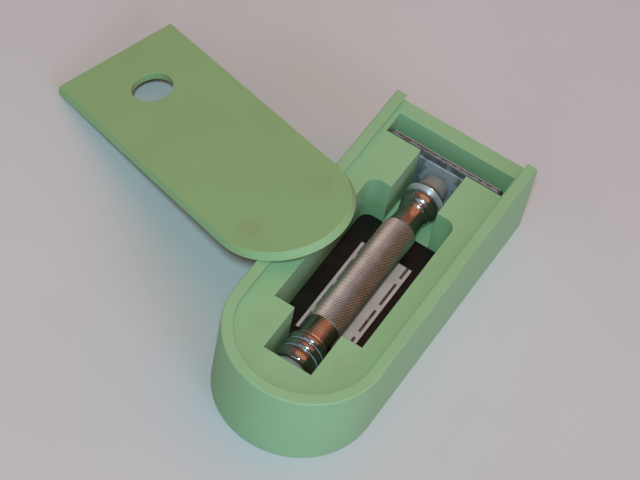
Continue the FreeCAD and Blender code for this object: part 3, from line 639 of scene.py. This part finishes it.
points = []
for y, radii in rings:
    for column, radius in enumerate(radii):
        angle = math.tau * column / columns
        x = barrel_axis.x + radius * math.sin(angle)
        z = barrel_axis.z + radius * math.cos(angle)
        points.append((x, y, z))
faces = []
plain_faces = []
for ring in range(len(rings)):
    start = ring * columns
    next_start = (ring + 1) % len(rings) * columns
    for column in range(columns):
        beside = (column + 1) % columns
        corners = (start + column, start + beside, next_start + beside, next_start + column)
        if 0 < ring < first_plain - 1:
            faces.append((corners[0], corners[1], corners[3]))
            faces.append((corners[1], corners[2], corners[3]))
        else:
            plain_faces.append(len(faces))
            faces.append(corners)
barrel_mesh = bpy.data.meshes.new("knurled_barrel")
barrel_mesh.from_pydata(points, [], faces)
for face in plain_faces:
    barrel_mesh.polygons[face].use_smooth = True
barrel_mesh.set_sharp_from_angle(angle=knurl_sharp_from)
knurled_barrel = bpy.data.objects.new("knurled_barrel", barrel_mesh)
bpy.context.collection.objects.link(knurled_barrel)

knurl_finish, tree, shader, position = start_finish("knurled_plate")
axis_place = (barrel_axis.x, 0.0, barrel_axis.z)
off_axis = put(tree, "ShaderNodeVectorMath", {0: position, 1: axis_place}, operation="SUBTRACT").outputs[0]
outwards = stretched(tree, off_axis, (1.0, 0.0, 1.0))
from_axis = put(tree, "ShaderNodeVectorMath", {0: outwards}, operation="LENGTH").outputs["Value"]
worn_tip = ramp(tree, from_axis, knurl_radius - knurl_depth, knurl_radius - tip_depth)
marks = handled(tree, position, grip_patch)
in_groove = calc(tree, "SUBTRACT", 1.0, worn_tip)
soil = calc(tree, "MULTIPLY", in_groove, ramp(tree, marks["Smudge"], 0.0, 1.0, 0.65, 1.0))
on_band = ramp(tree, along(tree, position, lengthways), knurl_low_y - band_fade, knurl_low_y, 1.0, 0.0)
grip = tinted(tree, soil, grip_silver, grip_brown)
band = tinted(tree, marks["Smudge"], band_silver, band_brown)
tree.links.new(tinted(tree, on_band, grip, band), shader.inputs["Base Color"])
grip_rough = ramp(tree, soil, 0.0, 1.0, 0.40, 0.55)
band_rough = ramp(tree, calc(tree, "MAXIMUM", marks["Smudge"], marks["Scratch"]), 0.0, 1.0, 0.08, 0.22)
tree.links.new(blended(tree, on_band, grip_rough, band_rough), shader.inputs["Roughness"])
shader.inputs["Metallic"].default_value = 1.0
place = put(tree, "ShaderNodeSeparateXYZ", {0: off_axis}).outputs
round_axis = calc(tree, "ARCTAN2", place["X"], place["Z"])
roll_phase = calc(tree, "SUBTRACT", calc(tree, "MULTIPLY", round_axis, float(knurl_ridges)),
                  calc(tree, "MULTIPLY", place["Y"], math.pi / row_step))
rolled_patch = ramp(tree, mottle(tree, position, roll_patch), 0.46, 0.56, 0.0, roll_strength)
rolled = calc(tree, "MULTIPLY", rolled_patch, on_band)
roll_marks = calc(tree, "MULTIPLY", calc(tree, "SINE", roll_phase), rolled)
band_height = calc(tree, "ADD", ring_height(tree, position, band_ring), roll_marks)
raise_surface(tree, shader, band_height, band_ring_depth)
knurled_barrel.data.materials.append(knurl_finish)
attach(knurled_barrel, "razor")
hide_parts("handle_barrel")

# Knob washer: a thin ring of polished spring steel.
# It lies between the barrel and the knob, and its rim shows as a bright line.
washer_bright = (0.74, 0.76, 0.78, 1.0)
washer_dull = (0.60, 0.60, 0.60, 1.0)

dress("knob_washer", bright_metal(
    "washer_steel", washer_bright, washer_dull, patch=4 * mm, smooth=0.14, rough=0.24)[0])

# Twist knob: turned and plated, with ringed grooves and a domed end.
# It turns the sleeve nut, which raises the cap.
knob_silver = (0.37, 0.42, 0.47, 1.0)
knob_brown = (0.30, 0.31, 0.31, 1.0)
knob_edge = 0.1 * mm
knob_ring_depth = 0.003 * mm
knob_soap_from = 0.70
knob_soap_strength = 0.85

knob_plate, tree, shader, position = bright_metal(
    "knob_plate", knob_silver, knob_brown, patch=7 * mm, smooth=0.05, rough=0.13)
raise_surface(tree, shader, ring_height(tree, position, turned_ring), knob_ring_depth)
dull_coat(tree, shader, soap_on(tree, position, knob_soap_from, knob_soap_strength), film_grey)
knob_skin = softened("twist_knob", knob_edge)
knob_skin.data.materials.append(knob_plate)

# Sleeve nut: the knob's long nut of turned brass, with the stud's own finish.
# It draws the cap's stud down inside the barrel.
dress("sleeve_nut", turned_brass)

# Retaining ring: a split ring of spring steel that sits in the nut's groove.
# It keeps nut and knob on the barrel.
dress("retaining_ring", spring_steel)

# Table, light and camera: a pale matte table top in a warm room, lit by three wide and far lamps: a warm
# one high above, a blue one low on the right and a cool one in front. A cool flash behind and above the
# camera adds the glints. The camera looks down across the case from its knob end.
table_pale = (0.560, 0.575, 0.585, 1.0)
table_shade = (0.535, 0.555, 0.570, 1.0)
table_patch = 140 * mm
table_radius = 12.0
table_drop = 0.05 * mm
warm_light = (1.0, 0.37, 0.16)
right_light = (0.60, 0.64, 1.0)
front_light = (0.72, 0.84, 1.0)
flash_light = (0.62, 0.93, 1.0)
warm_direction = Vector((0.169, 0.289, 1.0))
right_direction = Vector((0.85, -0.40, 0.30))
front_direction = Vector((-0.15, -0.80, 0.58)).normalized()
flash_size = 0.165
flash_power = 12.8
flash_above_lens = 0.06
flash_reach = 1.65
room_warm = (0.42, 0.155, 0.09, 1.0)
room_cool = (0.19, 0.14, 0.115, 1.0)
view_target = Vector((-0.02405, 0.01694, 0.0))
view_azimuth = math.radians(21.558)
view_elevation = math.radians(53.785)
view_distance = 0.90669
view_roll = math.radians(12.927)
view_lens = 151.875
view_sensor = 36.0

shape = bmesh.new()
bmesh.ops.create_circle(shape, cap_ends=True, segments=96, radius=table_radius)
bmesh.ops.translate(shape, verts=shape.verts, vec=(0.0, 0.0, -table_drop))
table_mesh = bpy.data.meshes.new("table_top")
shape.to_mesh(table_mesh)
shape.free()
table_top = bpy.data.objects.new("table_top", table_mesh)
bpy.context.collection.objects.link(table_top)
table_finish, tree, shader, position = start_finish("table_finish")
drift = ramp(tree, mottle(tree, position, table_patch), 0.35, 0.65)
tree.links.new(tinted(tree, drift, table_pale, table_shade), shader.inputs["Base Color"])
shader.inputs["Roughness"].default_value = 0.6
shader.inputs["Specular IOR Level"].default_value = 0.25
table_top.data.materials.append(table_finish)


def far_lamp(name, direction, width, strength, colour):
    """A wide soft lamp, so far off that it lights the whole table alike."""
    light = bpy.data.lights.new(name, "SUN")
    light.angle = width
    light.energy = strength
    light.color = colour
    holder = bpy.data.objects.new(name, light)
    holder.rotation_euler = direction.to_track_quat("Z", "Y").to_euler()
    bpy.context.collection.objects.link(holder)


far_lamp("warm_lamp", warm_direction, width=math.radians(60), strength=0.565, colour=warm_light)
far_lamp("right_lamp", right_direction, width=math.radians(32), strength=1.22, colour=right_light)
far_lamp("front_lamp", front_direction, width=math.radians(41), strength=0.233, colour=front_light)

view_back = Vector((math.sin(view_azimuth) * math.cos(view_elevation),
                    -math.cos(view_azimuth) * math.cos(view_elevation), math.sin(view_elevation)))
camera_place = view_target + view_back * view_distance
camera_turn = (-view_back).to_track_quat("-Z", "Y") @ Quaternion((0.0, 0.0, 1.0), view_roll)
view_up = camera_turn @ Vector((0.0, 1.0, 0.0))

flash = bpy.data.lights.new("camera_lamp", "AREA")
flash.shape = "DISK"
flash.size = flash_size
flash.energy = flash_power
flash.color = flash_light
flash_holder = bpy.data.objects.new("camera_lamp", flash)
above_lens = camera_place + view_up * flash_above_lens
flash_holder.location = view_target + (above_lens - view_target) * flash_reach
flash_holder.rotation_euler = (flash_holder.location - view_target).to_track_quat("Z", "Y").to_euler()
bpy.context.collection.objects.link(flash_holder)

surroundings = bpy.data.worlds.new("surroundings")
surroundings.use_nodes = True
tree = surroundings.node_tree
direction = put(tree, "ShaderNodeTexCoord").outputs["Generated"]
room = tinted(tree, ramp(tree, along(tree, direction, front_direction), -0.2, 0.85), room_warm, room_cool)
tree.links.new(room, tree.nodes["Background"].inputs["Color"])
bpy.context.scene.world = surroundings

lens = bpy.data.cameras.new("photo_view")
lens.sensor_fit = "HORIZONTAL"
lens.sensor_width = view_sensor
lens.lens = view_lens
photo_view = bpy.data.objects.new("photo_view", lens)
photo_view.location = camera_place
photo_view.rotation_mode = "QUATERNION"
photo_view.rotation_quaternion = camera_turn
bpy.context.collection.objects.link(photo_view)
bpy.context.scene.camera = photo_view
bpy.context.scene.view_settings.view_transform = "Standard"
